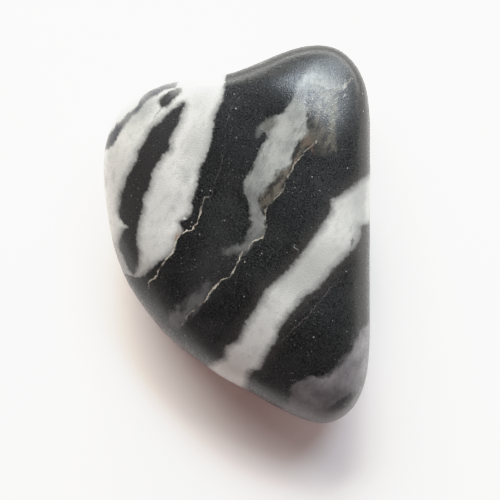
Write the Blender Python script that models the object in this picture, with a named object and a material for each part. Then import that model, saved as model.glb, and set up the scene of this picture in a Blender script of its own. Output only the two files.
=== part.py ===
"""Tumbled zebra jasper: one solid banded pebble, rounded by tumbling, lying on its one flat face.

X runs across the stone, Y along it and Z up. The flat face is in the plane Z = 0.
The driving dimensions below are in millimetres; the mesh is built in metres.
"""

import math

import bmesh
import bpy
from mathutils import Vector, noise

MM = 0.001
NODE = "zebra_jasper"

# The girdle is the widest line around the stone, seen from above: (x, y) stations,
# anticlockwise from the straight right side. The top left edge dips in a little between
# (1.77, 12.32) and (-4.9, 10.75), and the lower left edge is one long oblique break.
GIRDLE = [
    (9.48, 0.00), (9.50, 3.60), (9.50, 6.40), (9.46, 8.90), (9.15, 10.80),
    (8.32, 12.35), (6.96, 13.35), (5.60, 13.52), (4.00, 13.20),
    (1.77, 12.32), (-0.20, 11.64), (-2.70, 11.28), (-4.90, 10.75),
    (-6.60, 10.05), (-8.05, 9.02), (-8.98, 7.56), (-9.44, 5.90),
    (-9.50, 4.20), (-9.22, 1.60), (-8.66, -1.15), (-7.70, -3.55),
    (-6.50, -5.35), (-4.85, -7.30), (-2.45, -9.15), (-0.90, -10.22),
    (0.75, -11.08), (3.10, -12.42), (4.90, -13.22), (6.10, -13.48),
    (7.20, -13.20), (8.33, -12.30), (9.15, -10.50), (9.46, -7.80),
    (9.48, -5.60), (9.47, -2.70),
]

AXIS_X = 1.2            # the stone's thickest point, over the middle of the girdle
AXIS_Y = 0.8
GIRDLE_Z = 4.30         # mean height of the girdle over the flat face
GIRDLE_TILT = 0.45      # the girdle rises this much towards the upper right end,
GIRDLE_TILT_TO = 60.0   # in this direction (deg), and falls as much opposite it
GIRDLE_TWIST = 0.20     # second wave of the girdle, twice round the stone
GIRDLE_TWIST_TO = 160.0
TOP_RISE = 4.70         # crown height over the girdle, before it is worn
BASE_DROP = 4.68        # depth under the girdle, before the flat face is cut
TOP_POWER = 3.05        # section power of the crown: 2 is an ellipse, higher is fuller
TIGHT_POWER = 3.80      # the crown is fuller by this much at its tight top left edge,
TIGHT_TO = 112.0        # in this direction (deg),
TIGHT_SPREAD = 32.0     # and less so away from it, over this angle (deg)
BASE_POWER = 2.25       # section power of the underside
SLICES_X = 30           # mesh slices across, along and up the stone
SLICES_Y = 40
SLICES_Z = 14

# Soft facets worn on the stone: (direction in plan deg, tilt from straight up deg,
# depth worn off mm, softness mm, how flat it is worn 0..1).
FACETS = [
    (70.0, 2.0, 0.10, 0.30, 0.70),      # broad crown, worn a little flatter
    (62.0, 23.0, 0.46, 0.40, 0.85),     # upper right shoulder
    (32.0, 22.0, 0.22, 0.45, 0.80),     # and its tail, along the top of the right bevel
    (-2.0, 52.0, 0.12, 0.25, 0.60),     # right bevel
    (214.0, 47.0, 0.16, 0.40, 0.50),    # lower left slope
    (262.0, 40.0, 0.20, 0.40, 0.50),    # bottom slope
    (28.0, 140.0, 0.30, 0.40, 0.60),    # underside, right
    (160.0, 134.0, 0.30, 0.40, 0.60),   # underside, left
    (250.0, 138.0, 0.30, 0.40, 0.60),   # underside, bottom
]

# Shallow hollows: (x, y, z of the middle mm, radius mm, depth mm).
HOLLOWS = [
    (-1.60, 12.20, 5.80, 3.00, 0.22),   # dip at the top left edge
    (-5.40, -4.60, 7.30, 2.60, 0.08),   # faint dish over the lower left slope
    (6.00, -9.50, 1.50, 3.20, 0.18),    # worn hollow under the right end
]

# Gentle waviness of the tumbled surface: (wavelength mm, height mm, where its noise starts).
WAVES = [
    (4.6, 0.110, (3.1, 7.7, 1.9)),
    (1.9, 0.022, (9.4, 2.2, 5.8)),
]
WAVE_FADE = 2.0         # the waviness is full this many times nearer than the poles
FLAT_SOFTNESS = 0.16    # rounding where the flat face meets the sides


def clear_objects():
    """Remove the objects of the starting file."""
    for old in list(bpy.data.objects):
        bpy.data.objects.remove(old, do_unlink=True)


def girdle_polar():
    """Girdle stations as (angle, radius) about the stone's axis, in order of angle."""
    polar = []
    for x, y in GIRDLE:
        polar.append((math.atan2(y - AXIS_Y, x - AXIS_X), math.hypot(x - AXIS_X, y - AXIS_Y)))
    polar.sort()
    return polar


POLAR = girdle_polar()


def station(index):
    """Station of the closed girdle, with the angle unwrapped past either end."""
    turns, place = divmod(index, len(POLAR))
    angle, radius = POLAR[place]
    return angle + turns * math.tau, radius


def slope_at(index):
    """Change of radius with angle at a station, from its neighbours."""
    a0, r0 = station(index - 1)
    a1, r1 = station(index)
    a2, r2 = station(index + 1)
    before = (r1 - r0) / (a1 - a0)
    after = (r2 - r1) / (a2 - a1)
    return (before * (a2 - a1) + after * (a1 - a0)) / (a2 - a0)


def girdle_radius(angle):
    """Radius of the girdle in a direction, a smooth closed curve through the stations."""
    while angle < POLAR[0][0]:
        angle += math.tau
    while angle >= POLAR[0][0] + math.tau:
        angle -= math.tau
    index = 0
    while station(index + 1)[0] <= angle:
        index += 1
    a0, r0 = station(index)
    a1, r1 = station(index + 1)
    span = a1 - a0
    t = (angle - a0) / span
    m0 = slope_at(index) * span
    m1 = slope_at(index + 1) * span
    h00 = 2 * t ** 3 - 3 * t ** 2 + 1
    h10 = t ** 3 - 2 * t ** 2 + t
    h01 = -2 * t ** 3 + 3 * t ** 2
    h11 = t ** 3 - t ** 2
    return h00 * r0 + h10 * m0 + h01 * r1 + h11 * m1


def soft_excess(value, softness):
    """How far a point lies over a worn plane, rounded off near the plane (mm)."""
    if value <= -softness:
        return 0.0
    if value >= softness:
        return value
    return (value + softness) ** 2 / (4.0 * softness)


def sliced_cube():
    """A 2 x 2 x 2 cube cut into even slices along each axis."""
    bm = bmesh.new()
    bmesh.ops.create_cube(bm, size=2.0)
    for axis, count in ((0, SLICES_X), (1, SLICES_Y), (2, SLICES_Z)):
        normal = Vector((0.0, 0.0, 0.0))
        normal[axis] = 1.0
        for k in range(1, count):
            place = normal * (2.0 * k / count - 1.0)
            whole = bm.verts[:] + bm.edges[:] + bm.faces[:]
            bmesh.ops.bisect_plane(bm, geom=whole, dist=1e-7, plane_co=place, plane_no=normal)
    return bm


def to_ball(co):
    """Cube point to a point on the unit ball, with even spacing."""
    warped = Vector([math.tan(c * math.pi / 4.0) for c in co])
    return warped.normalized()


def to_pebble(ball):
    """Unit ball point to the unworn pebble, in mm about the middle of the stone."""
    angle = math.atan2(ball.y, ball.x)
    flat = math.hypot(ball.x, ball.y)
    rise = abs(ball.z)
    if ball.z >= 0.0:
        height = TOP_RISE
        away = math.remainder(angle - math.radians(TIGHT_TO), math.tau)
        power = TOP_POWER + TIGHT_POWER * math.exp(-(away / math.radians(TIGHT_SPREAD)) ** 2)
    else:
        height = -BASE_DROP
        power = BASE_POWER
    scale = (flat ** power + rise ** power) ** (-1.0 / power)
    radius = girdle_radius(angle) * flat * scale
    wave = GIRDLE_TILT * math.cos(angle - math.radians(GIRDLE_TILT_TO))
    wave += GIRDLE_TWIST * math.cos(2.0 * (angle - math.radians(GIRDLE_TWIST_TO)))
    up = height * rise * scale + wave * flat * flat
    return Vector((radius * math.cos(angle), radius * math.sin(angle), up))


def wear_facets(points):
    """Wear each soft facet off the pebble, down from its farthest point that way."""
    for turn, tilt, depth, softness, flatness in FACETS:
        turn = math.radians(turn)
        tilt = math.radians(tilt)
        normal = Vector((
            math.sin(tilt) * math.cos(turn),
            math.sin(tilt) * math.sin(turn),
            math.cos(tilt),
        ))
        limit = max(point.dot(normal) for point in points) - depth
        for point in points:
            over = soft_excess(point.dot(normal) - limit, softness)
            point -= normal * (over * flatness)


def wear_hollows(points):
    """Sink each shallow hollow towards the middle of the stone."""
    for x, y, z, radius, depth in HOLLOWS:
        middle = Vector((x - AXIS_X, y - AXIS_Y, z - GIRDLE_Z))
        for point in points:
            near = (point - middle).length / radius
            if near < 1.0:
                point -= point.normalized() * (depth * (1.0 - near * near) ** 2)


def waviness(point, ball):
    """How far the wavy surface stands out here (mm): nothing at the girdle."""
    away = min(1.0, abs(ball.z) * WAVE_FADE)
    away = away * away * (3.0 - 2.0 * away)
    return away * sum(
        noise.noise(point / size + Vector(start)) * height for size, height, start in WAVES
    )


def cut_flat(point):
    """Set the stone on its flat face: the plane Z = 0, rounded into the sides."""
    over = soft_excess(-point.z, FLAT_SOFTNESS)
    height = point.z + over
    if over >= FLAT_SOFTNESS:
        height = 0.0
    return Vector((point.x, point.y, height))


def jasper_finish():
    """Polished dark jasper, a plain stand-in finish for the solid."""
    finish = bpy.data.materials.new("polished_jasper")
    finish.use_nodes = True
    shader = finish.node_tree.nodes["Principled BSDF"]
    shader.inputs["Base Color"].default_value = (0.055, 0.055, 0.058, 1.0)
    shader.inputs["Roughness"].default_value = 0.32
    finish.diffuse_color = (0.055, 0.055, 0.058, 1.0)
    return finish


def centred(points):
    """Shift the points so that the middle of their box is over the origin."""
    middle = Vector((
        (min(p.x for p in points) + max(p.x for p in points)) / 2.0,
        (min(p.y for p in points) + max(p.y for p in points)) / 2.0,
        0.0,
    ))
    return [point - middle for point in points]


def build():
    """Build the one pebble."""
    clear_objects()
    bm = sliced_cube()
    balls = [to_ball(vert.co) for vert in bm.verts]
    points = [to_pebble(ball) for ball in balls]
    wear_facets(points)
    wear_hollows(points)
    axis_foot = Vector((AXIS_X, AXIS_Y, GIRDLE_Z))
    points = [
        cut_flat(point + ball * waviness(point, ball) + axis_foot)
        for point, ball in zip(points, balls)
    ]
    for vert, point in zip(bm.verts, centred(points)):
        vert.co = point * MM
    bmesh.ops.triangulate(bm, faces=bm.faces[:])
    bmesh.ops.recalc_face_normals(bm, faces=bm.faces[:])
    mesh = bpy.data.meshes.new(NODE)
    bm.to_mesh(mesh)
    bm.free()
    mesh.shade_smooth()
    mesh.materials.append(jasper_finish())
    stone = bpy.data.objects.new(NODE, mesh)
    bpy.context.scene.collection.objects.link(stone)
    size = [
        (max(v.co[i] for v in mesh.vertices) - min(v.co[i] for v in mesh.vertices)) / MM
        for i in range(3)
    ]
    print(NODE, len(mesh.polygons), "triangles", [round(length, 3) for length in size], "mm")


build()
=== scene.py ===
# %% [markdown]
# # A tumbled zebra jasper
#
# Zebra jasper is a black chert, fine quartz coloured by carbon, cut by bands of milky white
# quartz and by hairline seams stained with iron. This pebble was rounded and polished in a
# tumbling barrel. It is one piece of rock, so it is one mesh: the bands are only colour.
#
# The solid that comes with the part has the right shape but coarse faces. The looks are made
# around it in four steps: the view and the light, the fine surface, the stone's pattern, and
# its polish.

# %% Load the solid
import math

import bmesh
import bpy
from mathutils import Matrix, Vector, noise


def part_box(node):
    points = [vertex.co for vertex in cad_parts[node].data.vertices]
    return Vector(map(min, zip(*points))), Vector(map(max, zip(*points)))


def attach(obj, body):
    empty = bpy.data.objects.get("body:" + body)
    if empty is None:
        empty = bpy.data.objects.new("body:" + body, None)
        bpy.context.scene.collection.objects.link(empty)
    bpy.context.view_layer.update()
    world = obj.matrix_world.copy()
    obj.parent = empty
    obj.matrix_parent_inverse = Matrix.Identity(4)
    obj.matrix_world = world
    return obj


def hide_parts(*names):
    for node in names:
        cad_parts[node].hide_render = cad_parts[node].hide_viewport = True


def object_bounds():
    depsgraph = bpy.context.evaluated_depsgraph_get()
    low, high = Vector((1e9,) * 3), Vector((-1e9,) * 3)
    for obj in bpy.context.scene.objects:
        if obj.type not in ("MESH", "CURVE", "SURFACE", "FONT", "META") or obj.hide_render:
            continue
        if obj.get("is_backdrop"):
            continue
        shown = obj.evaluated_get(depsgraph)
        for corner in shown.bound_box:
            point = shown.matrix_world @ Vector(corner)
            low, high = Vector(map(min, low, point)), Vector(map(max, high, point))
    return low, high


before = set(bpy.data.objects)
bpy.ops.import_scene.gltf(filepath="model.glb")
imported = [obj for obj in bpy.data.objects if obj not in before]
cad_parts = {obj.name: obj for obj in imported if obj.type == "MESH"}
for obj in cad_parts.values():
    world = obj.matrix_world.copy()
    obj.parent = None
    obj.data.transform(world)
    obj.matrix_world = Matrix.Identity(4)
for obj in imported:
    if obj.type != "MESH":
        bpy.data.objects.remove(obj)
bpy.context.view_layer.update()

MM = 0.001
low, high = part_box("zebra_jasper")
size_mm = [(high[i] - low[i]) / MM for i in range(3)]
print("solid", [round(v, 2) for v in size_mm], "mm")

# %% [markdown]
# ## The view
#
# The stone lies on paper and is looked at from straight above, as on a copy stand. A long
# lens from 20 cm keeps the sides from leaning. The frame is square, and the scale is set at
# the girdle, the stone's widest line, because that line is what makes its outline.

# %% Camera
PICTURE_WIDTH = 500.0                # pixels
PICTURE_SCALE = 14.0                 # pixels for each millimetre, at the girdle
FRAME_WIDTH = PICTURE_WIDTH / PICTURE_SCALE * MM
GIRDLE_HEIGHT = 4.3 * MM
CAMERA_HEIGHT = 200.0 * MM
NEAREST = 10.0 * MM                  # anything nearer to the lens isn't drawn
VIEW_X = 0.943 * MM                  # the middle of the frame
VIEW_Y = -1.086 * MM
SENSOR = 36.0                        # width of the camera's sensor, mm


def overhead_camera():
    """A camera looking straight down, with +Y up in the picture."""
    lens = bpy.data.cameras.new("overhead_camera")
    lens.sensor_width = SENSOR
    lens.lens = SENSOR * (CAMERA_HEIGHT - GIRDLE_HEIGHT) / FRAME_WIDTH
    lens.clip_start = NEAREST
    camera = bpy.data.objects.new("overhead_camera", lens)
    camera.location = (VIEW_X, VIEW_Y, CAMERA_HEIGHT)
    bpy.context.scene.collection.objects.link(camera)
    bpy.context.scene.camera = camera
    return camera


camera = overhead_camera()
print("lens", round(camera.data.lens, 1), "mm")

# %% [markdown]
# ## Colours and nodes
#
# Colours are written as sRGB hex, which is what a colour picker shows. Shaders work on linear
# light, so one function converts them. Another adds a node with its settings and its links, so
# that a material reads from top to bottom like a recipe.

# %% Two helpers


def linear(hex_colour):
    """An sRGB hex colour as linear red, green, blue and alpha."""
    channels = [int(hex_colour[i:i + 2], 16) / 255.0 for i in (0, 2, 4)]
    light = [c / 12.92 if c <= 0.04045 else ((c + 0.055) / 1.055) ** 2.4 for c in channels]
    return (*light, 1.0)


def add(tree, kind, inputs=None, **settings):
    """Add a node. An input is a value, a socket, or a node, which gives its first output in use."""
    node = tree.nodes.new(kind)
    for name, value in settings.items():
        setattr(node, name, value)
    for key, value in (inputs or {}).items():
        if isinstance(value, bpy.types.Node):
            value = next(socket for socket in value.outputs if socket.enabled)
        if isinstance(value, bpy.types.NodeSocket):
            tree.links.new(value, node.inputs[key])
        else:
            node.inputs[key].default_value = value
    return node


print("mid grey 808080 is", round(linear("808080")[0], 3), "in linear light")

# %% [markdown]
# ## Paper
#
# The stone lies on plain uncoated paper. Pressed, bleached fibres scatter light evenly, so the
# sheet is matt, with hardly a highlight. A flat square is enough, far wider than the frame.

# %% Paper
PAPER_SIZE = 0.9                     # metres
PAPER_WHITE = linear("FAF8F6")
PAPER_ROUGHNESS = 0.9
PAPER_SHINE = 0.2


def paper_sheet():
    """A plain sheet of white paper under the stone."""
    bm = bmesh.new()
    bmesh.ops.create_grid(bm, x_segments=2, y_segments=2, size=PAPER_SIZE / 2.0)
    mesh = bpy.data.meshes.new("paper")
    bm.to_mesh(mesh)
    bm.free()
    paper = bpy.data.objects.new("paper", mesh)
    bpy.context.scene.collection.objects.link(paper)
    finish = bpy.data.materials.new("matt_white_paper")
    finish.use_nodes = True
    shader = finish.node_tree.nodes["Principled BSDF"]
    shader.inputs["Base Color"].default_value = PAPER_WHITE
    shader.inputs["Roughness"].default_value = PAPER_ROUGHNESS
    shader.inputs["Specular IOR Level"].default_value = PAPER_SHINE
    mesh.materials.append(finish)
    paper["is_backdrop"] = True


paper_sheet()
print("paper", PAPER_SIZE, "m across")

# %% [markdown]
# ## Windows and fill
#
# Area lights stand for the windows, because the size of an area light sets how soft its shadow
# is. A small window, high at the upper right, throws the shadow at the lower left and makes part
# of the bright patch on the upper right shoulder. Its lower panes make the rest of that patch.
# They are a light of their own, seen only by mirror-like rays, so they don't soften the shadow.
#
# The others fill. A wide window, low at the top, lights the crown and the paper. A weak warm
# lamp opposite tints the shadow. Both are hidden from mirror-like rays, because a bright sheet
# so close would grey the polish. What the polish does mirror at the top edge is a pale curtain,
# low at the upper right.

# %% One window
WINDOW_AWAY = 0.5                    # metres from the stone to each light


def window_light(name, turn, rise, width, tall, power, colour):
    """A soft light, sized in metres, that faces the stone, turned and raised in degrees."""
    lamp = bpy.data.lights.new(name, "AREA")
    lamp.shape = "RECTANGLE"
    lamp.size = width
    lamp.size_y = tall
    lamp.energy = power
    lamp.color = colour
    light = bpy.data.objects.new(name, lamp)
    turn = math.radians(turn)
    rise = math.radians(rise)
    towards = Vector((
        math.cos(rise) * math.cos(turn),
        math.cos(rise) * math.sin(turn),
        math.sin(rise),
    ))
    light.location = towards * WINDOW_AWAY
    light.rotation_euler = towards.to_track_quat("Z", "Y").to_euler()
    bpy.context.scene.collection.objects.link(light)
    return light


print("each light is", WINDOW_AWAY, "m from the stone")

# %% All the windows
small_window = window_light("small_window", turn=54.0, rise=49.0, width=0.17, tall=0.17,
                            power=1.08, colour=(0.74, 0.87, 1.0))
window_glare = window_light("window_glare", turn=50.0, rise=37.5, width=0.16, tall=0.32,
                            power=1.16, colour=(0.86, 0.94, 1.0))
wide_window = window_light("wide_window", turn=104.0, rise=28.5, width=0.46, tall=0.44,
                           power=6.5, colour=(1.0, 1.0, 0.945))
warm_lamp = window_light("warm_lamp", turn=250.0, rise=60.0, width=0.50, tall=0.50,
                         power=0.33, colour=(1.0, 0.32, 0.24))
curtain = window_light("curtain", turn=67.0, rise=8.0, width=1.00, tall=0.17,
                       power=4.2, colour=(0.98, 1.0, 0.97))
window_glare.visible_diffuse = False
wide_window.visible_glossy = False
warm_lamp.visible_glossy = False
for light in (small_window, window_glare, wide_window, warm_lamp, curtain):
    print(light.name, "at", [round(v, 2) for v in light.location], "m")

# %% [markdown]
# ## The room
#
# What isn't a window is the world's background, and a polished stone mirrors that too. The
# crown faces the ceiling, so a dark ceiling keeps the black chert black. Grey walls all round
# keep the steep sides and the shadow from going quite black.

# %% The room
OVERHEAD = (0.06, 0.06, 0.062, 1.0)
FAR_WALLS = (0.22, 0.22, 0.225, 1.0)
WALLS_UP_TO = 0.25                   # sine of the height where the walls start to darken
DARK_FROM = 0.85                     # and where they have met the dark ceiling


def room():
    """A dim room: dark overhead, with grey walls all round."""
    world = bpy.data.worlds.new("room")
    world.use_nodes = True
    tree = world.node_tree
    tree.nodes.clear()
    way = add(tree, "ShaderNodeTexCoord").outputs["Generated"]
    rise = add(tree, "ShaderNodeSeparateXYZ", {0: way}).outputs["Z"]
    rise = add(tree, "ShaderNodeMapRange", {
        "Value": rise, "From Min": WALLS_UP_TO, "From Max": DARK_FROM,
    }, interpolation_type="SMOOTHSTEP")
    tint = add(tree, "ShaderNodeMix", {"Factor": rise, "A": FAR_WALLS, "B": OVERHEAD},
               data_type="RGBA")
    back = add(tree, "ShaderNodeBackground", {"Color": tint})
    add(tree, "ShaderNodeOutputWorld", {"Surface": back})
    bpy.context.scene.world = world


room()
print("room", FAR_WALLS[0], "at the walls and", OVERHEAD[0], "overhead")

# %% [markdown]
# ## The tone of the picture
#
# White paper beside a window would burn out if light turned to tone in a straight line. A
# camera bends its brightest tones over instead. Blender's view settings have a curve for that.
# It runs straight through the darks and the greys, so only the lightest tones are moved.

# %% The tone of the picture
FILM_TONES = [                       # (light, tone), both linear
    (0.0, 0.0), (0.62, 0.62), (0.75, 0.775), (0.88, 0.865), (1.0, 0.905), (1.3, 0.948),
    (1.6, 0.958), (2.4, 0.965),
]


def film_response(points):
    """Bend the brightest tones over, as a camera does, through (light, tone) points."""
    brightest = points[-1][0]
    view = bpy.context.scene.view_settings
    view.view_transform = "Standard"
    view.use_curve_mapping = True
    view.curve_mapping.white_level = (brightest, brightest, brightest)
    curve = view.curve_mapping.curves[3]
    curve.points[0].location = points[0]
    curve.points[1].location = (1.0, points[-1][1])
    for light, tone in points[1:-1]:
        curve.points.new(light / brightest, tone)
    for point in curve.points:
        point.handle_type = "VECTOR"
    view.curve_mapping.update()


film_response(FILM_TONES)
print("tones stay straight up to", FILM_TONES[1][0])

# %% [markdown]
# ## The fine surface
#
# The solid's faces are half a millimetre wide, too coarse for a polished stone that mirrors a
# window. A copy of it has its loose triangles merged and paired into quads, and is subdivided
# twice, which rounds it. Then each point moves a few microns in or out along its normal: a
# tumbled stone is never quite smooth, it keeps a faint orange peel and a scatter of tiny pits
# where grains broke away.

# %% Copy, merge and round the stone
MERGE_WITHIN = 0.0005 * MM                # corners nearer than this are one corner
PAIR_BEND = math.radians(30.0)            # triangles that bend less than this may pair to a quad
PAIR_SLANT = math.radians(60.0)           # if its corners are within this of square
ROUNDING_LEVELS = 2


def fine_copy(node):
    """A copy of a node's mesh as quads, subdivided into a smooth surface."""
    bm = bmesh.new()
    bm.from_mesh(node.data)
    bmesh.ops.remove_doubles(bm, verts=bm.verts[:], dist=MERGE_WITHIN)
    bmesh.ops.join_triangles(
        bm, faces=bm.faces[:], angle_face_threshold=PAIR_BEND, angle_shape_threshold=PAIR_SLANT,
    )
    mesh = bpy.data.meshes.new("banded_pebble")
    bm.to_mesh(mesh)
    bm.free()
    pebble = bpy.data.objects.new("banded_pebble", mesh)
    bpy.context.scene.collection.objects.link(pebble)
    rounding = pebble.modifiers.new("rounding", "SUBSURF")
    rounding.levels = ROUNDING_LEVELS
    rounding.render_levels = ROUNDING_LEVELS
    bpy.context.view_layer.update()
    evaluated = pebble.evaluated_get(bpy.context.evaluated_depsgraph_get())
    pebble.data = bpy.data.meshes.new_from_object(evaluated)
    pebble.modifiers.clear()
    pebble.data.name = "banded_pebble"
    return pebble


pebble = fine_copy(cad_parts["zebra_jasper"])
pebble.data.materials.clear()
print("points", len(pebble.data.vertices), "faces", len(pebble.data.polygons))

# %% Tumbled relief
PEEL = [(1.30, 0.0060), (0.55, 0.0022)]    # orange peel: (wavelength mm, height mm)
PIT_SPACING = 0.9                          # mm between the places where a pit may be
PIT_RADIUS = 0.16                          # mm
PIT_DEPTH = 0.020                          # mm
PIT_SHARE = 0.35                           # share of those places that have a pit
LUCK_SPREAD = 31.7                         # large and uneven, so neighbours' luck differs
FOOT = 0.25                                # mm over the paper where the relief fades out


def pit_depth(place):
    """Depth in mm of the pit at a place in mm, nought between pits."""
    distances, centres = noise.voronoi(place / PIT_SPACING)
    away = distances[0] * PIT_SPACING / PIT_RADIUS
    luck = noise.cell(centres[0] * LUCK_SPREAD)
    if away >= 1.0 or abs(luck) > PIT_SHARE:
        return 0.0
    return PIT_DEPTH * (1.0 - away * away) ** 2


def tumbled_relief(pebble):
    """Move each point of the polished surface a few microns along its normal."""
    mesh = pebble.data
    normals = [vertex.normal.copy() for vertex in mesh.vertices]
    for vertex, normal in zip(mesh.vertices, normals):
        place = vertex.co / MM
        rise = sum(noise.noise(place / size) * height for size, height in PEEL)
        rise -= pit_depth(place)
        fade = min(1.0, max(0.0, place.z / FOOT))
        vertex.co += normal * (rise * fade * MM)
    mesh.shade_smooth()
    mesh.update()


tumbled_relief(pebble)
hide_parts("zebra_jasper")
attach(pebble, "root")
print("relief up to", PIT_DEPTH, "mm deep")

# %% [markdown]
# ## The pattern
#
# The bands run up the stone from lower left to upper right. So the pattern is drawn in two
# lengths in millimetres: *along* the bands and *across* them, which are the Object coordinates
# turned by the bands' angle. Each edge of a band is one curve, across as a function of along,
# through a few points. The curves cut down through the rock as sheets. Below the girdle the
# sheets lean over and swell, so the sides and the underside show the same bands, but bent.

# %% Places on the stone: along and across the bands
BAND_TURN = math.radians(60.0)
ALONG_RANGE = (-12.0, 16.0)          # the longest reach of the stone, mm
ACROSS_RANGE = (-14.0, 14.0)         # and how far its edges may lie across it, mm
BEND_FROM = 4.6                      # height over the paper under which the sheets bend, mm
BEND = 0.10                          # lean of the sheets, mm across for each mm squared

# Jasper, ground round and polished in a tumbling barrel: opaque, with a soft waxy gloss.
finish = bpy.data.materials.new("tumbled_zebra_jasper")
finish.use_nodes = True
tree = finish.node_tree
tree.nodes.clear()

place = add(tree, "ShaderNodeTexCoord")
place = add(tree, "ShaderNodeVectorMath", {0: place.outputs["Object"], "Scale": 1.0 / MM},
            operation="SCALE")
height = add(tree, "ShaderNodeSeparateXYZ", {0: place}).outputs["Z"]
under = add(tree, "ShaderNodeMath", {0: BEND_FROM, 1: height}, operation="SUBTRACT")
under = add(tree, "ShaderNodeMath", {0: under, 1: 0.0}, operation="MAXIMUM")
print("bands turned", round(math.degrees(BAND_TURN)), "degrees from across the stone")

# %% [markdown]
# ## Ragged edges
#
# Quartz grows in crystals, so no edge in the rock is a clean line. A small shift by noise, added
# to the place before the pattern is read, roughens every edge at once. Two sizes are added: wide
# waves and small nubs. A third, slow one grows with depth and bends the bands inside the stone.

# %% Wander
SWELL = (5.0, 1.0, (3.0, 1.0, 7.0))          # size mm, reach mm, and where its noise starts
RAGGED = (0.60, 0.30, (0.0, 4.0, 0.0))
NUBBY = (0.20, 0.26, (8.0, 0.0, 2.0))


def wander(size, reach, start):
    """A shift of a place by noise with grains of a size, each way up to half a reach (mm)."""
    moved = add(tree, "ShaderNodeVectorMath", {0: place, 1: start}, operation="ADD")
    cloud = add(tree, "ShaderNodeTexNoise", {"Vector": moved, "Scale": 1.0 / size, "Detail": 2.0})
    shift = add(tree, "ShaderNodeVectorMath", {0: cloud.outputs["Color"], 1: (0.5, 0.5, 0.5)},
                operation="SUBTRACT")
    return add(tree, "ShaderNodeVectorMath", {0: shift, "Scale": reach}, operation="SCALE")


swell = wander(*SWELL)
swell = add(tree, "ShaderNodeVectorMath", {0: swell, "Scale": under}, operation="SCALE")
drawn = place
for shift in (swell, wander(*RAGGED), wander(*NUBBY)):
    drawn = add(tree, "ShaderNodeVectorMath", {0: drawn, 1: shift}, operation="ADD")
print("edges wander over", RAGGED[0], "and", NUBBY[0], "mm")

# %% Along and across
along_way = (math.cos(BAND_TURN), math.sin(BAND_TURN), 0.0)
across_way = (math.sin(BAND_TURN), -math.cos(BAND_TURN), 0.0)
along = add(tree, "ShaderNodeVectorMath", {0: drawn, 1: along_way},
            operation="DOT_PRODUCT").outputs["Value"]
across = add(tree, "ShaderNodeVectorMath", {0: drawn, 1: across_way},
             operation="DOT_PRODUCT").outputs["Value"]
lean = add(tree, "ShaderNodeMath", {0: under, 1: under}, operation="MULTIPLY")
across = add(tree, "ShaderNodeMath", {0: lean, 1: BEND, 2: across}, operation="MULTIPLY_ADD")
along_share = add(tree, "ShaderNodeMapRange", {
    "Value": along, "From Min": ALONG_RANGE[0], "From Max": ALONG_RANGE[1],
})
print("along", ALONG_RANGE, "and across", ACROSS_RANGE, "mm")

# %% [markdown]
# ## Curves and depth
#
# Two small tools draw every band. A Float Curve node gives a value for each place along the
# bands, such as where an edge lies or how strong a mark is. And colours are laid over each other
# by depth: how far inside its edges a place lies, in mm. So an edge is as sharp or as soft as
# the real one, whatever its shape. The same tool lays a colour where a noise is high, and its
# numbers are then levels of the noise, which lie around a half.

# %% Curves along the bands


def along_curve(points, lowest, highest, handle="AUTO_CLAMPED"):
    """A quantity that changes along the bands, through (along mm, value) points."""
    node = add(tree, "ShaderNodeFloatCurve", {"Value": along_share})
    curve = node.mapping.curves[0]
    shares = [
        ((a - ALONG_RANGE[0]) / (ALONG_RANGE[1] - ALONG_RANGE[0]),
         (value - lowest) / (highest - lowest))
        for a, value in sorted(points)
    ]
    curve.points[0].location = shares[0]
    curve.points[1].location = shares[-1]
    for share in shares[1:-1]:
        curve.points.new(*share)
    for point in curve.points:
        point.handle_type = handle
    node.mapping.update()
    return add(tree, "ShaderNodeMapRange", {
        "Value": node, "To Min": lowest, "To Max": highest,
    }, clamp=False)


def edge(points):
    """Where an edge lies across the bands (mm), from (along, across) points in mm."""
    return along_curve(points, *ACROSS_RANGE)


def strength(points):
    """How strong a mark is, 0 to 1, from (along mm, share) points."""
    return along_curve(points, 0.0, 1.0, "VECTOR")


print("curves run through points in mm")

# %% Painting with depth


def depth(upper, lower):
    """How deep a place lies between two edges, in mm, and less than nought outside."""
    from_upper = add(tree, "ShaderNodeMath", {0: across, 1: upper}, operation="SUBTRACT")
    from_lower = add(tree, "ShaderNodeMath", {0: lower, 1: across}, operation="SUBTRACT")
    return add(tree, "ShaderNodeMath", {0: from_upper, 1: from_lower}, operation="MINIMUM")


def oval(x, y, z, length, width, turn):
    """Depth, 1 in the middle and 0 at the rim, of an oval: middle and size in mm, turned (deg)."""
    local = add(tree, "ShaderNodeMapping", {
        "Vector": drawn, "Location": (x, y, z), "Rotation": (0.0, 0.0, math.radians(turn)),
        "Scale": (length / 2.0, width / 2.0, 1.0),
    }, vector_type="TEXTURE")
    away = add(tree, "ShaderNodeVectorMath", {0: local}, operation="LENGTH").outputs["Value"]
    return add(tree, "ShaderNodeMath", {0: 1.0, 1: away}, operation="SUBTRACT")


def lay(under_colour, over_colour, how_deep, start, full, share=1.0):
    """One colour over another: none of it where the depth is start, its whole share where full."""
    cover = add(tree, "ShaderNodeMapRange", {
        "Value": how_deep, "From Min": start, "From Max": full,
    }, interpolation_type="SMOOTHSTEP")
    cover = add(tree, "ShaderNodeMath", {0: cover, 1: share}, operation="MULTIPLY")
    return add(tree, "ShaderNodeMix", {"Factor": cover, "A": under_colour, "B": over_colour},
               data_type="RGBA")


print("colours are laid by depth in mm")

# %% [markdown]
# ## Clouds, grain and grit
#
# Milky drifts pass through the quartz, and its crystals are drawn out along the bands. Each
# noise has the size of what it stands for, and the same few noises colour every band, so they
# look like one rock. The crystals of chert are only microns wide, too fine to show. So the
# grit is drawn as coarse as it needs to be seen, a tenth of a millimetre.

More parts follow.
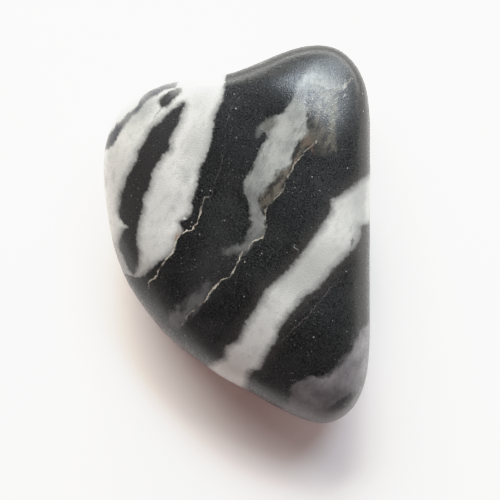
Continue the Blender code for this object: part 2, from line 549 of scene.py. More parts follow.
# %% Noise in the rock
HAZE_SIZE = 2.6                      # mm, pale drifts in the black
CLOUD_SIZE = 1.5                     # mm, milky drifts in the quartz
GRAIN_SIZE = 0.36                    # mm, single crystals
GRAIN_STRETCH = 2.2                  # how many times longer they are along the bands
FIBRE_SIZE = 0.16                    # mm, thin crystals side by side
FIBRE_STRETCH = 4.0
GRIT_SIZE = 0.10                     # mm, coarser than the real grit, so that it shows


def rock_noise(size, start, stretch=1.0):
    """Noise with grains of a size (mm), longer along the bands by a stretch."""
    moved = add(tree, "ShaderNodeMapping", {
        "Vector": place, "Location": start, "Rotation": (0.0, 0.0, BAND_TURN),
        "Scale": (stretch * size, size, size),
    }, vector_type="TEXTURE")
    return add(tree, "ShaderNodeTexNoise", {"Vector": moved, "Scale": 1.0, "Detail": 3.0})


clouds = rock_noise(CLOUD_SIZE, (5.0, 2.0, 0.0))
streaks = rock_noise(GRAIN_SIZE, (1.0, 9.0, 4.0), GRAIN_STRETCH)
fibres = rock_noise(FIBRE_SIZE, (3.0, 3.0, 5.0), FIBRE_STRETCH)
grit = rock_noise(GRIT_SIZE, (7.0, 3.0, 8.0))
haze = rock_noise(HAZE_SIZE, (0.0, 6.0, 1.0))
print("grain from", GRIT_SIZE, "to", HAZE_SIZE, "mm")

# %% Frayed edges and soft patches


def frayed(how_deep, reach):
    """A depth whose edge the streaks break up, each way by about a fifth of the reach (mm)."""
    shift = add(tree, "ShaderNodeMath", {0: streaks, 1: 0.5}, operation="SUBTRACT")
    return add(tree, "ShaderNodeMath", {0: shift, 1: reach, 2: how_deep},
               operation="MULTIPLY_ADD")


def patch(colour, paint, where, start, full, share, fray=0.0):
    """A soft oval of paint over a colour. With a fray (mm), the streaks break up its rim.

    Where it lies is given as (x, y, z, length, width in mm, turn in degrees).
    """
    inside = oval(*where)
    if fray:
        inside = frayed(inside, fray)
    return lay(colour, paint, inside, start, full, share)


print("edges fray with the grain")

# %% [markdown]
# ## Black chert
#
# The ground is chert, quartz too fine to see, blackened by carbon. It isn't one flat black: grit
# speckles it, a pale haze drifts through it, and beside the bands some quartz has smudged it.
# So black comes first, and grit, haze and smudges are laid over it, each with a small share. Two
# of the pale patches, on the lower left slope, are painted sheen: they stand for the paper that
# the rim mirrors there.

# %% Black chert
CHERT_BLACK = linear("101010")
CHERT_GRIT = linear("2C2C2C")
# the pale grey of haze in the rock, and of painted sheen on the lower left slope
CHERT_HAZE_AND_SHEEN = linear("363636")
CHERT_SMUDGE = linear("666566")
# (x, y, z, length, width in mm, turn in degrees), depth where it is full, share
HAZE_AND_SHEEN_PATCHES = [
    ((-1.9, -2.6, 8.6, 11.0, 4.4, 56.0), 0.8, 0.34),
    # these two, on the lower left slope, are painted sheen: the rim there mirrors the paper
    ((-3.9, -5.9, 7.4, 4.2, 1.9, 38.0), 0.9, 0.7),
    ((-3.4, -7.1, 7.0, 4.8, 2.0, -43.0), 0.9, 0.7),
]
SMUDGES = [
    ((-2.9, -4.65, 8.1, 5.4, 1.5, 46.0), 0.8, 0.62),
    ((-4.15, -5.85, 7.2, 2.6, 1.6, 50.0), 0.7, 0.8),
]
SMUDGE_START = -0.1                  # depth where a smudge starts, a little outside its oval
SMUDGE_FRAY = 1.3                    # mm
GRIT_SHOWS = (0.44, 0.74)            # levels of the grit noise between which it appears

chert = lay(CHERT_BLACK, CHERT_GRIT, grit, *GRIT_SHOWS, share=0.9)
colour = lay(chert, CHERT_HAZE_AND_SHEEN, haze, start=0.46, full=0.80, share=0.30)
# pale patches: haze in the rock, and painted sheen on the lower left slope
for where, full, share in HAZE_AND_SHEEN_PATCHES:
    colour = patch(colour, CHERT_HAZE_AND_SHEEN, where, 0.0, full, share)
for where, full, share in SMUDGES:
    colour = patch(colour, CHERT_SMUDGE, where, SMUDGE_START, full, share, SMUDGE_FRAY)
print("black chert with", len(HAZE_AND_SHEEN_PATCHES), "pale patches and", len(SMUDGES), "smudges")

# %% [markdown]
# ## The grey vein
#
# Near the middle a vein of clear grey quartz runs up through the black. It is thin in places, so
# the black shows through, and an olive tail joins it at the upper right. The tail is partly rock
# and partly painted reflection, for it lies where the shoulder mirrors the window, and its dark
# speckle is painted grain of that bright patch. Brown smoke, iron in the quartz, fills the room
# between the vein and a seam on its right. Each of these has two edge curves, and a strength that
# changes along the bands, because they fade in and out.

# %% Edges of the vein, its tail and the seam beside it
vein_upper = edge([
    (-12.0, 3.0), (-1.6, 1.4), (-1.1, 0.55), (-0.4, 0.60), (0.4, 0.56), (1.2, 0.42), (2.0, -0.10),
    (2.5, -0.52), (2.85, -1.08), (3.5, -1.40), (4.4, -1.38), (5.5, -1.48), (6.4, -1.50), (7.06, -1.62),
    (7.18, -2.12), (7.38, -2.48), (7.8, -2.34), (8.55, -1.80), (9.5, -1.38), (10.5, -1.48),
    (11.2, -1.60), (12.2, -1.50), (16.0, -1.0),
])
vein_lower = edge([
    (-12.0, 1.0), (-0.4, 1.3), (0.4, 1.46), (1.0, 1.62), (1.3, 1.57), (2.1, 1.1), (2.4, 0.55), (3.2, 0.12),
    (4.1, 0.31), (5.3, 0.42), (6.2, 0.85), (7.1, 0.60), (7.7, 0.57), (8.5, 0.72), (9.4, 0.28),
    (10.3, -0.20), (11.0, -0.52), (11.65, -0.70), (12.1, 0.60), (12.6, 1.30), (13.2, 1.42), (16.0, 1.9),
])
tail_upper = edge([
    (-12.0, 4.0), (8.2, 3.05), (8.5, 2.72), (8.9, 2.34), (9.4, 1.95), (9.9, 1.52), (10.6, 0.85),
    (11.05, 0.30), (11.4, -0.25), (11.7, -0.75), (12.4, -0.95), (16.0, 0.0),
])
tail_lower = edge([
    (-12.0, 2.0), (8.2, 2.92), (8.6, 3.00), (9.3, 2.60), (10.3, 2.00), (11.4, 1.42), (12.6, 1.05),
    (16.0, 1.0),
])
seam_two = edge([
    (-12.0, -0.6), (-7.6, -0.22), (-7.1, -0.14), (-6.5, -0.10), (-6.1, 0.05), (-5.6, 0.26),
    (-5.05, 0.43), (-4.5, 0.45),
    (-3.8, 0.60), (-3.2, 0.76), (-2.75, 1.11), (-2.0, 1.10), (-1.4, 1.02), (-0.95, 0.95), (-0.45, 1.22),
    (0.16, 1.32), (0.95, 1.68), (1.5, 1.4), (2.15, 1.09), (2.5, 0.86), (3.5, 1.08), (4.5, 1.25),
    (5.0, 1.10), (5.8, 1.12), (6.2, 1.02), (6.75, 1.17), (7.5, 1.27), (8.4, 1.52), (9.0, 1.6),
    (12.0, 2.6), (16.0, 3.5),
])
print("five edges drawn")

# %% Grey quartz in the vein
# clear grey quartz; also painted as shade where the right white band meets the right rim
QUARTZ_CLEAR_AND_SHADE = linear("989996")
VEIN_GREY = linear("737573")
VEIN_PALE = linear("90928F")
VEIN_SMOKE = linear("4F4E4B")
# paint, (x, y, z, length, width in mm, turn in degrees), depth where it starts, where full, share
VEIN_PATCHES = [
    (VEIN_SMOKE, (1.75, 7.6, 8.9, 3.3, 2.2, 25.0), 0.05, 0.65, 0.9),
    (QUARTZ_CLEAR_AND_SHADE, (3.2, 7.3, 8.9, 2.6, 1.5, 60.0), 0.0, 0.8, 0.7),
    (VEIN_SMOKE, (4.7, 9.9, 8.6, 3.2, 2.6, 60.0), 0.0, 0.9, 0.75),
]
VEIN_PATCH_FRAY = 1.2                # mm

vein_colour = lay(VEIN_GREY, VEIN_PALE, clouds, start=0.32, full=0.58)
vein_colour = lay(vein_colour, VEIN_GREY, streaks, start=0.46, full=0.74, share=0.6)
vein_colour = lay(vein_colour, VEIN_SMOKE, fibres, start=0.50, full=0.78, share=0.5)
for paint, where, start, full, share in VEIN_PATCHES:
    vein_colour = patch(vein_colour, paint, where, start, full, share, VEIN_PATCH_FRAY)
print("vein quartz with", len(VEIN_PATCHES), "patches")

# %% Smoke and tail
SMOKE_BROWN = linear("59544B")
SMOKE_DARK = linear("2E2B28")
# the tail's olive: rock, and partly painted reflection of the window on the shoulder
TAIL_OLIVE = linear("5B5A4F")

smoke = lay(SMOKE_DARK, SMOKE_BROWN, streaks, start=0.36, full=0.62)
tail = lay(TAIL_OLIVE, SMOKE_DARK, fibres, start=0.48, full=0.70, share=0.55)
# painted highlight grain: dark grit that speckles the bright patch on the tail
tail = lay(tail, SMOKE_DARK, grit, start=0.48, full=0.66, share=0.45)
smoke_share = strength([
    (-12.0, 0.0), (1.6, 0.0), (2.6, 0.6), (4.5, 0.9), (7.2, 0.8), (8.4, 0.3), (9.2, 0.0), (16.0, 0.0),
])
wedge_share = strength([
    (-12.0, 0.0), (7.6, 0.0), (8.6, 0.6), (10.6, 0.7), (12.4, 0.5), (13.0, 0.0), (16.0, 0.0),
])
vein_share = strength([
    (-12.0, 0.0), (-1.6, 0.0), (-0.9, 0.22), (0.0, 0.36), (1.0, 0.45), (1.9, 0.70), (2.7, 0.42),
    (3.7, 0.72), (5.0, 0.92), (6.6, 0.96), (8.2, 1.0), (9.6, 0.78), (11.0, 0.56), (12.0, 0.66),
    (12.5, 0.42), (12.9, 0.14), (13.4, 0.0), (16.0, 0.0),
])
tail_share = strength([
    (-12.0, 0.0), (7.7, 0.0), (8.8, 0.6), (10.6, 0.84), (12.0, 0.64), (12.9, 0.18), (13.3, 0.0),
    (16.0, 0.0),
])
print("smoke, vein and tail fade along the bands")

# %% Lay them over the black
WEDGE_EDGE = (-0.25, 0.35)           # depth in mm where a colour starts, and where it is full
SMOKE_EDGE = (-0.12, 0.16)
VEIN_EDGE = (-0.14, 0.24)
TAIL_EDGE = (-0.45, 0.45)
WEDGE_FRAY = 1.6                     # mm
VEIN_FRAY = 0.7
TAIL_FRAY = 2.2
# (x, y, z, length, width, turn), depth where it starts, where it is full, share, fray
FINGER = ((1.60, 7.28, 8.95, 1.5, 0.80, 62.0), 0.0, 0.9, 0.45, 0.8)
WISP = ((0.05, -1.0, 8.9, 2.8, 0.9, 12.0), 0.05, 0.95, 0.42, 1.4)

wedge_depth = frayed(depth(vein_lower, tail_lower), WEDGE_FRAY)
smoke_depth = depth(vein_lower, seam_two)
vein_depth = frayed(depth(vein_upper, vein_lower), VEIN_FRAY)
tail_depth = frayed(depth(tail_upper, tail_lower), TAIL_FRAY)
colour = lay(colour, smoke, wedge_depth, *WEDGE_EDGE, wedge_share)
colour = lay(colour, smoke, smoke_depth, *SMOKE_EDGE, smoke_share)
colour = lay(colour, vein_colour, vein_depth, *VEIN_EDGE, vein_share)
# the tail: rock, and partly painted reflection of the window on the shoulder
colour = lay(colour, tail, tail_depth, *TAIL_EDGE, tail_share)
for where, start, full, share, fray in (FINGER, WISP):
    colour = patch(colour, VEIN_GREY, where, start, full, share, fray)
print("vein drawn")

# %% [markdown]
# ## The grey corner
#
# The lower right end is a band of grey quartz with one edge, for its other side is off the
# stone. So its depth is measured from that edge alone. It gets fainter towards the tip.

# %% The grey corner
CORNER_DARK = linear("646163")
CORNER_PALE = linear("858183")
CORNER_FRAY = 0.8                    # mm
CORNER_EDGE = (-0.30, 0.36)          # depth in mm
DARK_PATCH = (7.55, -11.9, 6.8, 3.2, 1.2, 32.0)

corner_edge = edge([
    (-12.0, 8.2), (-9.1, 8.95), (-8.6, 9.05), (-7.8, 8.82), (-7.1, 8.75), (-6.5, 9.1), (-5.9, 9.56),
    (-5.85, 10.0), (-5.2, 10.53), (-4.5, 10.85), (-3.8, 10.88), (-2.9, 11.03), (-1.8, 10.98),
    (-0.9, 11.2), (2.0, 13.0), (16.0, 14.0),
])
corner_depth = add(tree, "ShaderNodeMath", {0: across, 1: corner_edge}, operation="SUBTRACT")
corner_share = strength([
    (-12.0, 0.45), (-8.6, 0.62), (-7.6, 0.78), (-6.5, 0.75), (-5.0, 0.9), (-3.0, 1.0), (16.0, 1.0),
])
corner_colour = lay(CORNER_DARK, CORNER_PALE, clouds, start=0.30, full=0.66)
corner_colour = lay(corner_colour, CORNER_DARK, streaks, start=0.45, full=0.75, share=0.5)
corner_depth = frayed(corner_depth, CORNER_FRAY)
colour = lay(colour, corner_colour, corner_depth, *CORNER_EDGE, corner_share)
colour = patch(colour, CHERT_GRIT, DARK_PATCH, start=0.0, full=0.6, share=0.85, fray=CORNER_FRAY)
print("corner drawn")

# %% [markdown]
# ## The right white band
#
# This band is milky quartz, white because it is full of tiny bubbles. Near its edges it gets
# thin and the black shows through, so the colour there is a darker grey. A brown halo, iron
# that soaked out of the band, stains the black just outside. So the band is built from its rim
# inwards, all from one depth: halo, thin quartz, milky quartz. Where it meets the steep right
# rim, a patch of greyer quartz is painted shade.

# %% Edges of the right white band
right_upper = edge([
    (-12.0, 1.6), (-8.9, 2.93), (-8.3, 3.25), (-7.87, 3.48), (-7.35, 3.25), (-6.7, 3.58), (-6.15, 3.74),
    (-5.4, 3.64), (-4.6, 3.66), (-3.8, 3.74), (-2.4, 3.70), (-1.35, 4.05), (-0.1, 4.38), (1.25, 4.62),
    (2.4, 4.70), (3.7, 4.86), (4.9, 4.82), (5.2, 4.62), (5.4, 4.57), (5.9, 4.85), (7.1, 5.36),
    (7.8, 5.65), (9.0, 6.3), (16.0, 9.5),
])
right_lower = edge([
    (-12.0, 6.6), (-9.0, 6.03), (-8.4, 5.88), (-7.9, 5.72), (-7.35, 6.16), (-6.65, 6.10), (-5.9, 6.03),
    (-5.0, 6.12), (-4.2, 5.90), (-3.0, 6.04), (-2.2, 6.16), (-1.4, 6.26), (-0.5, 6.72), (0.6, 6.96),
    (1.6, 7.14), (2.6, 7.43), (3.4, 7.63), (4.2, 7.58), (4.9, 7.35), (5.3, 7.65), (6.0, 8.4),
    (9.0, 10.5), (16.0, 13.5),
])
right_depth = depth(right_upper, right_lower)
print("right white band has two edges")

# %% The right white band
QUARTZ_MILKY = linear("B8B8B5")
# also the colour of a painted glint by the bright patch
QUARTZ_WHITE_AND_GLINT = linear("D2D1CD")
# also laid along the lower left rim, where it is partly painted shade
QUARTZ_THIN_AND_SHADE = linear("777876")       # at an edge, where the black shows through
HALO_BROWN = linear("3A3634")
THIN_EDGE = 0.62                     # mm from the edge to where the quartz is thick
RIGHT_EDGE = (-0.16, 0.16)           # depth in mm
# painted shade: greyer quartz where the band meets the steep right rim
RIGHT_RIM_SHADE = (8.6, 2.8, 7.3, 5.0, 3.0, 60.0)

quartz = lay(QUARTZ_CLEAR_AND_SHADE, QUARTZ_MILKY, clouds, start=0.16, full=0.52)
quartz = lay(quartz, QUARTZ_CLEAR_AND_SHADE, streaks, start=0.45, full=0.78, share=0.45)
right_thin = strength([
    (-12.0, 0.1), (-7.5, 0.1), (-6.2, 0.0), (-4.6, 0.1), (-3.6, 0.15), (-2.2, 0.4), (-0.85, 0.85),
    (0.4, 0.8), (2.0, 0.6), (3.2, 0.2), (16.0, 0.0),
])
right_end = strength([(-12.0, 0.8), (-8.2, 0.75), (-7.4, 0.35), (-6.4, 0.0), (16.0, 0.0)])
right_quartz = lay(quartz, QUARTZ_CLEAR_AND_SHADE, right_depth, start=-1.0, full=0.0, share=right_thin)
right_quartz = lay(right_quartz, QUARTZ_WHITE_AND_GLINT, right_depth, start=-1.0, full=0.0, share=right_end)
# painted shade on the band at the right rim
right_quartz = patch(right_quartz, QUARTZ_CLEAR_AND_SHADE, RIGHT_RIM_SHADE, start=0.0, full=0.8, share=0.6)
right_quartz = lay(QUARTZ_THIN_AND_SHADE, right_quartz, right_depth, start=0.0, full=THIN_EDGE)
colour = lay(colour, HALO_BROWN, right_depth, start=-1.0, full=0.0, share=0.5)
colour = lay(colour, right_quartz, right_depth, *RIGHT_EDGE)
print("right white band drawn")

# %% [markdown]
# ## The left white end
#
# The upper left end of the stone is the same milky quartz, and a dark band runs through it.
# Its quartz gets thin at the dark band too. So its depth is the smaller of two: how far inside
# its own edge a place lies, and how far outside the dark band. A darker strip along its lower
# left rim is partly a smear and partly painted shade.

# %% Edges of the left end and of its dark band
left_end = edge([
    (-12.0, -13.8), (-7.4, -10.5), (-6.75, -7.6), (-6.35, -5.3), (-6.0, -4.4), (-5.6, -4.15),
    (-4.6, -3.77), (-3.7, -3.38), (-3.1, -3.22), (-2.4, -3.46), (-1.9, -3.36), (-1.55, -3.50),
    (-1.25, -3.84), (-0.9, -3.68), (-0.45, -3.5), (-0.15, -3.45), (0.45, -3.82), (1.2, -3.97),
    (2.0, -4.18), (2.75, -4.50), (3.4, -4.54), (4.55, -4.73), (5.4, -5.02), (6.2, -5.38), (7.1, -5.45),
    (8.2, -5.75), (9.4, -6.3), (12.0, -7.3), (16.0, -8.8),
])
dark_upper = edge([
    (-12.0, -3.0), (-6.5, -4.6), (-6.0, -5.25), (-5.7, -5.75), (-5.3, -6.22), (-4.9, -6.75), (-4.2, -7.0),
    (-3.65, -7.05), (-3.40, -6.88), (-3.25, -7.25), (-3.0, -7.75), (-2.2, -8.18), (-1.0, -8.52),
    (0.3, -8.62), (0.85, -8.62), (1.7, -8.85), (2.5, -8.78), (3.25, -8.84), (4.1, -8.55), (4.9, -8.37),
    (5.7, -8.0), (6.1, -7.8), (6.45, -7.4), (16.0, -3.0),
])
dark_lower = edge([
    (-12.0, -7.5), (-6.5, -5.2), (-6.0, -4.85), (-5.4, -4.98), (-4.6, -5.32), (-3.9, -5.83), (-3.3, -6.15),
    (-2.5, -6.42), (-1.6, -6.62), (-1.2, -6.92), (-0.6, -6.92), (0.16, -7.06), (0.9, -7.30),
    (1.6, -7.25), (2.2, -7.21), (2.8, -7.06), (3.3, -7.28), (3.7, -7.41), (4.4, -7.35), (4.9, -7.46),
    (5.5, -7.62), (6.1, -7.65), (6.5, -8.0), (16.0, -12.0),
])
dark_depth = depth(dark_upper, dark_lower)
left_depth = add(tree, "ShaderNodeMath", {0: left_end, 1: across}, operation="SUBTRACT")
outside_dark = add(tree, "ShaderNodeMath", {0: dark_depth, 1: -1.0}, operation="MULTIPLY")
left_inside = add(tree, "ShaderNodeMath", {0: left_depth, 1: outside_dark}, operation="MINIMUM")
print("left end and dark band have three edges")

# %% The left white end
QUARTZ_GREY = linear("7A7B79")
LEFT_EDGE = (-0.12, 0.14)            # depth in mm
# paint, (x, y, z, length, width in mm, turn in degrees), depth where it is full, share
LEFT_PATCHES = [
    (QUARTZ_CLEAR_AND_SHADE, (-6.9, 8.3, 7.4, 8.5, 4.2, 48.0), 0.6, 0.9),
    # partly a dark smear, partly painted shade along the lower left rim
    (QUARTZ_THIN_AND_SHADE, (-8.1, -2.0, 5.5, 5.4, 1.7, -68.0), 0.6, 0.75),
    (QUARTZ_GREY, (-6.3, 8.9, 8.3, 6.4, 3.6, 42.0), 1.0, 0.95),
    (QUARTZ_CLEAR_AND_SHADE, (-2.6, 6.4, 9.0, 5.2, 3.0, 68.0), 0.8, 0.5),
    (QUARTZ_CLEAR_AND_SHADE, (-2.4, 10.0, 8.7, 4.6, 3.2, 60.0), 0.8, 0.45),
]

left_quartz = lay(QUARTZ_THIN_AND_SHADE, quartz, left_inside, start=-0.1, full=THIN_EDGE)
for paint, where, full, share in LEFT_PATCHES:
    left_quartz = patch(left_quartz, paint, where, 0.0, full, share)
colour = lay(colour, left_quartz, left_depth, *LEFT_EDGE)
print("left white end drawn with", len(LEFT_PATCHES), "patches")

# %% [markdown]
# ## Dark band, streak and spot
#
# Chert lies in the white end again: a dark band, a thin streak beyond it and a spot between them.
# They are laid over the white, each with its own two edges, and are a little paler than the
# ground, for there is quartz in them. The streak fades out below the girdle.

# %% Edges of the streak and the spot
streak_upper = edge([
    (-12.0, -10.0), (0.3, -10.9), (0.65, -11.15), (1.5, -11.3), (2.3, -11.2), (2.8, -11.02),
    (3.4, -10.86), (3.95, -10.60), (4.55, -10.56), (5.1, -10.56), (5.7, -10.32), (6.55, -9.8),
    (7.1, -9.2), (7.4, -8.8), (16.0, -4.0),
])
streak_lower = edge([
    (-12.0, -12.5), (0.3, -11.2), (0.7, -10.90), (1.2, -10.66), (2.1, -10.68), (2.85, -10.60),
    (3.5, -10.46), (4.0, -10.24), (4.6, -10.14), (5.1, -10.06), (5.6, -9.78), (6.4, -9.26),
    (6.95, -8.75), (7.5, -9.0), (16.0, -12.0),
])
spot_upper = edge([
    (-12.0, -8.5), (5.0, -8.95), (5.1, -9.12), (5.42, -9.34), (5.72, -9.32), (6.15, -9.18), (6.6, -8.9),
    (7.05, -8.5), (16.0, -8.0),
])
spot_lower = edge([
    (-12.0, -9.6), (5.0, -9.0), (5.1, -8.84), (5.35, -8.64), (5.8, -8.50), (6.35, -8.34), (6.75, -8.30),
    (7.05, -8.48), (16.0, -9.5),
])
print("streak and spot have two edges each")

# %% Dark band, streak and spot
DARK_BAND = linear("292828")
STREAK_GREY = linear("35353A")
STREAK_EDGE = (-0.16, 0.12)          # depth in mm
SPOT_EDGE = (-0.22, 0.16)
DARK_EDGE = (-0.14, 0.13)
SPOT_FRAY = 0.2                      # mm
FADE_UNDER = (0.5, 2.2)              # mm below the bend, where the streak starts and ends to fade
BLACK_NICK = (-5.95, 10.2, 7.6, 1.0, 0.45, 38.0)
STREAK_PATCH = (-4.5, 10.35, 7.6, 1.6, 0.9, 20.0)
STREAK_PATCH_FRAY = 1.2

dark_colour = lay(DARK_BAND, CHERT_GRIT, grit, *GRIT_SHOWS, share=0.7)
spot_colour = lay(dark_colour, STREAK_GREY, streaks, start=0.46, full=0.62, share=0.8)
spot_share = strength([(-12.0, 1.0), (6.0, 1.0), (6.6, 0.8), (7.1, 0.45), (16.0, 0.3)])
streak_share = strength([
    (-12.0, 1.0), (2.3, 1.0), (2.9, 0.68), (3.7, 0.68), (4.15, 0.92), (4.9, 0.75), (5.6, 1.0),
    (6.1, 1.0), (6.5, 0.92), (7.0, 0.75), (16.0, 0.75),
])
fades_under = add(tree, "ShaderNodeMapRange", {
    "Value": under, "From Min": FADE_UNDER[0], "From Max": FADE_UNDER[1],
    "To Min": 1.0, "To Max": 0.0,
})
streak_share = add(tree, "ShaderNodeMath", {0: streak_share, 1: fades_under}, operation="MULTIPLY")
streak_depth = depth(streak_upper, streak_lower)
spot_depth = frayed(depth(spot_upper, spot_lower), SPOT_FRAY)
colour = lay(colour, STREAK_GREY, streak_depth, *STREAK_EDGE, streak_share)
colour = patch(colour, CHERT_BLACK, BLACK_NICK, start=0.0, full=0.8, share=0.6)
colour = patch(colour, STREAK_GREY, STREAK_PATCH, start=0.0, full=0.9, share=0.5,
               fray=STREAK_PATCH_FRAY)
colour = lay(colour, spot_colour, spot_depth, *SPOT_EDGE, spot_share)
colour = lay(colour, dark_colour, dark_depth, *DARK_EDGE)
print("dark band, streak and spot drawn")

# %% [markdown]
# ## Seams
#
# A seam is a crack that quartz healed, a cream hairline stained with rust in places. Its middle
# is one edge curve, and the distance from it, across the bands, gives the line its width. Noise
# breaks it into dashes, because a real seam comes and goes.

# %% One seam
BREAK_SIZE = 0.45                    # mm, the length of a break in a seam
BREAK_LEVELS = (0.37, 0.62)          # levels of the noise, from a gap to a whole line
STAIN_SIZE = 1.3                     # mm, rust stains
SEAM_CREAM = linear("B9B4A6")
SEAM_RUST = linear("806250")
SEAM_CORE = 0.3                      # share of a seam's width where it is full

breaks = add(tree, "ShaderNodeMapRange", {
    "Value": rock_noise(BREAK_SIZE, (2.0, 2.0, 6.0)),
    "From Min": BREAK_LEVELS[0], "From Max": BREAK_LEVELS[1],
})
stain = rock_noise(STAIN_SIZE, (4.0, 0.0, 3.0))
stained = lay(SEAM_CREAM, SEAM_RUST, stain, start=0.52, full=0.68, share=0.45)


def seam(colour, seam_colour, path, width, shares):
    """A broken hairline along an edge curve: how wide on each side (mm), and how strong."""
    away = add(tree, "ShaderNodeMath", {0: across, 1: path}, operation="SUBTRACT")
    away = add(tree, "ShaderNodeMath", {0: away}, operation="ABSOLUTE")
    share = add(tree, "ShaderNodeMath", {0: strength(shares), 1: breaks}, operation="MULTIPLY")
    return lay(colour, seam_colour, away, width, width * SEAM_CORE, share)


print("seams break every", BREAK_SIZE, "mm")

# %% The seams
SEAM_GREY = linear("8E8D88")
SEAM_PINK = linear("807170")
SEAM_ONE_WIDTH = 0.075               # mm on each side of its middle, before it fades
SEAM_TWO_WIDTH = 0.068
HAIR_WIDTH = 0.05

seam_one = edge([
    (-12.0, -3.0), (-6.5, -3.46), (-5.9, -3.66), (-5.4, -3.42), (-4.9, -3.47), (-4.25, -3.36),
    (-3.9, -3.38), (-3.2, -3.23), (-2.7, -3.40), (-2.0, -3.44), (-1.7, -3.22), (-1.48, -3.17),
    (-1.3, -2.87), (-0.6, -2.80), (0.0, -2.95), (0.6, -3.13), (1.07, -3.15), (1.44, -2.94),
    (1.94, -3.11), (2.5, -3.19), (3.04, -3.20), (3.9, -3.38), (5.4, -4.04), (6.6, -4.53), (7.5, -4.68),
    (8.24, -4.63), (9.1, -4.41), (10.5, -4.2), (16.0, -4.0),
])
red_line = edge([
    (-12.0, 6.0), (-4.8, 6.50), (-3.8, 6.74), (-2.9, 7.02), (-1.7, 7.27), (-0.5, 7.45), (0.5, 7.69),
    (1.2, 8.15), (2.1, 8.4), (16.0, 12.0),
])
colour = seam(colour, stained, seam_one, SEAM_ONE_WIDTH, [
    (-12.0, 0.0), (-6.7, 0.0), (-6.3, 0.6), (-5.2, 0.9), (-2.0, 0.95), (-0.5, 0.9), (0.6, 0.7),
    (1.6, 0.3), (2.4, 0.0), (16.0, 0.0),
])
colour = seam(colour, SEAM_GREY, seam_one, HAIR_WIDTH, [
    (-12.0, 0.0), (1.6, 0.0), (2.2, 0.22), (9.0, 0.22), (9.6, 0.0), (16.0, 0.0),
])
colour = seam(colour, stained, seam_two, SEAM_TWO_WIDTH, [
    (-12.0, 0.0), (-7.9, 0.0), (-7.3, 0.4), (-6.0, 0.7), (-4.0, 0.85), (-1.0, 0.95), (0.3, 0.8),
    (1.2, 0.5), (5.0, 0.5), (7.9, 0.4), (8.5, 0.0), (16.0, 0.0),
])
colour = seam(colour, SEAM_PINK, red_line, HAIR_WIDTH, [
    (-12.0, 0.0), (-5.0, 0.0), (-4.5, 0.3), (-2.0, 0.35), (0.5, 0.3), (2.0, 0.0), (16.0, 0.0),
])
print("three seams drawn")

# %% [markdown]
# ## Small marks
#
# Every stone has a few marks of its own: rust beside a vein or a seam, dark nicks in the white,
# pale chips and a cream line near the rim. One pale mark is not the stone's own: it is a painted
# glint, where tiny pits by the bright patch catch the window. Each is one frayed oval, and a table
# for each colour keeps them together. Noise wouldn't do, because there are few and each has its
# place.

# %% Small marks
# x, y, z, length, width in mm, turn in degrees, strength
RUST_MARKS = [
    (5.00, 6.30, 8.8, 1.6, 0.8, -60.0, 0.17),
    (4.00, 5.00, 8.9, 1.6, 0.30, 55.0, 0.30), (-4.20, -0.23, 8.8, 1.7, 0.28, 63.0, 0.80),
]
DARK_MARKS = [
    (8.09, -0.30, 8.0, 1.60, 0.34, 90.0, 0.95), (0.87, -8.52, 7.85, 0.34, 0.24, 70.0, 0.85),
]
PALE_MARKS = [
    (4.13, -0.98, 8.95, 0.60, 0.12, -53.0, 0.9), (-3.60, 1.10, 8.8, 0.40, 0.26, 30.0, 0.7),
    # the second here, beside the bright patch, is a painted glint: tiny pits catching the window
    (5.55, 6.47, 8.8, 0.34, 0.16, 60.0, 0.3), (7.57, 9.72, 7.7, 0.60, 0.20, 35.0, 0.35),
    (0.73, -6.22, 8.5, 0.26, 0.20, 0.0, 0.5),
]
CREAM_MARKS = [
    (7.75, 10.60, 7.5, 1.8, 0.26, 50.0, 0.28),
]
MARK_FRAY = 2.4                      # mm
MARK_EDGE = (0.05, 1.0)              # depth where a mark starts, and where it is full

MARKS = (
    (SEAM_RUST, RUST_MARKS), (CHERT_HAZE_AND_SHEEN, DARK_MARKS), (QUARTZ_WHITE_AND_GLINT, PALE_MARKS),
    (SEAM_CREAM, CREAM_MARKS),
)
# the marks; one pale one is a painted glint
for paint, marks in MARKS:
    for *where, share in marks:
        colour = patch(colour, paint, where, *MARK_EDGE, share, MARK_FRAY)
    print(len(marks), "marks")

# %% [markdown]
# ## Specks
#
# Specks of pale quartz are scattered through the rock, too many to place by hand. A Voronoi
# texture puts one point in each cell of its grid, and each cell's random colour decides how
# strong its speck is. Two sizes are used, many tiny ones and fewer large ones.

# %% Specks of pale quartz
SPECK_SIZES = [(0.24, 0.042, 0.55), (0.60, 0.070, 0.90)]    # spacing mm, radius mm, strength
SPECK_GREY = linear("A8A5A0")
SPECK_LUCK = 0.35                    # cells under this level of luck have no speck
SPECK_CORE = 0.3                     # share of a speck's radius where it is full

for spacing, radius, most in SPECK_SIZES:
    cells = add(tree, "ShaderNodeTexVoronoi", {"Vector": place, "Scale": 1.0 / spacing})
    luck = add(tree, "ShaderNodeSeparateColor", {0: cells.outputs["Color"]}).outputs["Red"]
    luck = add(tree, "ShaderNodeMapRange", {"Value": luck, "From Min": SPECK_LUCK, "To Max": most})
    rim = radius / spacing
    colour = lay(colour, SPECK_GREY, cells.outputs["Distance"], rim, SPECK_CORE * rim, luck)
print("specks every", [size[0] for size in SPECK_SIZES], "mm")

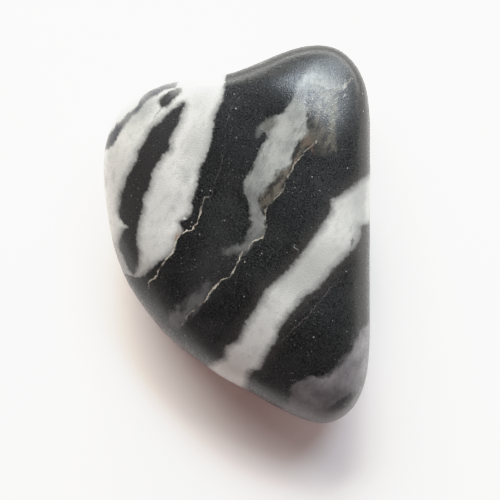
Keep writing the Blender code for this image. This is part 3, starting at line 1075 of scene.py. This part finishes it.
# %% [markdown]
# ## The polish
#
# The material is tumbled, polished jasper: fine quartz, ground round with coarse grit and then
# with ever finer grit. It takes a soft waxy polish, not a glassy one. To the eye that is a broad
# dull sheen with a sharper one inside it. So the shader has two lobes, a rough base and a thin
# smoother coat, both with the index of quartz. The grain gives the gloss a fine sparkle: it
# varies the roughness and, as two very low bumps, tilts both lobes a little.

# %% Polish
QUARTZ_IOR = 1.54
BASE_SHINE = 0.32                    # specular level of the rough base
COAT_SHARE = 0.4
SHARP_GLOSS = 0.14                   # roughness of the coat
DULL_GLOSS = 0.42                    # mean roughness of the base
GLOSS_SWING = 0.16                   # how far the grit moves it, up or down
GRIT_LEVELS = (0.38, 0.62)           # levels of the grit noise between which it does so
BUMP_STRENGTH = 0.8
BASE_BUMP = 0.03 * MM
COAT_BUMP = 0.02 * MM

bump = add(tree, "ShaderNodeBump", {
    "Strength": BUMP_STRENGTH, "Distance": BASE_BUMP, "Height": grit,
})
sparkle = add(tree, "ShaderNodeBump", {
    "Strength": BUMP_STRENGTH, "Distance": COAT_BUMP, "Height": grit,
})
roughness = add(tree, "ShaderNodeMapRange", {
    "Value": grit, "From Min": GRIT_LEVELS[0], "From Max": GRIT_LEVELS[1],
    "To Min": DULL_GLOSS - GLOSS_SWING, "To Max": DULL_GLOSS + GLOSS_SWING,
})
shader = add(tree, "ShaderNodeBsdfPrincipled", {
    "Base Color": colour, "Roughness": roughness, "IOR": QUARTZ_IOR, "Normal": bump,
    "Specular IOR Level": BASE_SHINE, "Coat Weight": COAT_SHARE, "Coat Roughness": SHARP_GLOSS,
    "Coat IOR": QUARTZ_IOR, "Coat Normal": sparkle,
})
add(tree, "ShaderNodeOutputMaterial", {"Surface": shader})
pebble.data.materials.append(finish)
print("nodes", len(tree.nodes))

# %% [markdown]
# ## Sizes
#
# The last step measures the dressed stone again and prints its size, like the solid's at the
# start, so that the two can be compared.

# %% Sizes
box_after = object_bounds()
low, high = box_after
size_mm = [(high[i] - low[i]) / MM for i in range(3)]
print("dressed", [round(v, 2) for v in size_mm], "mm")
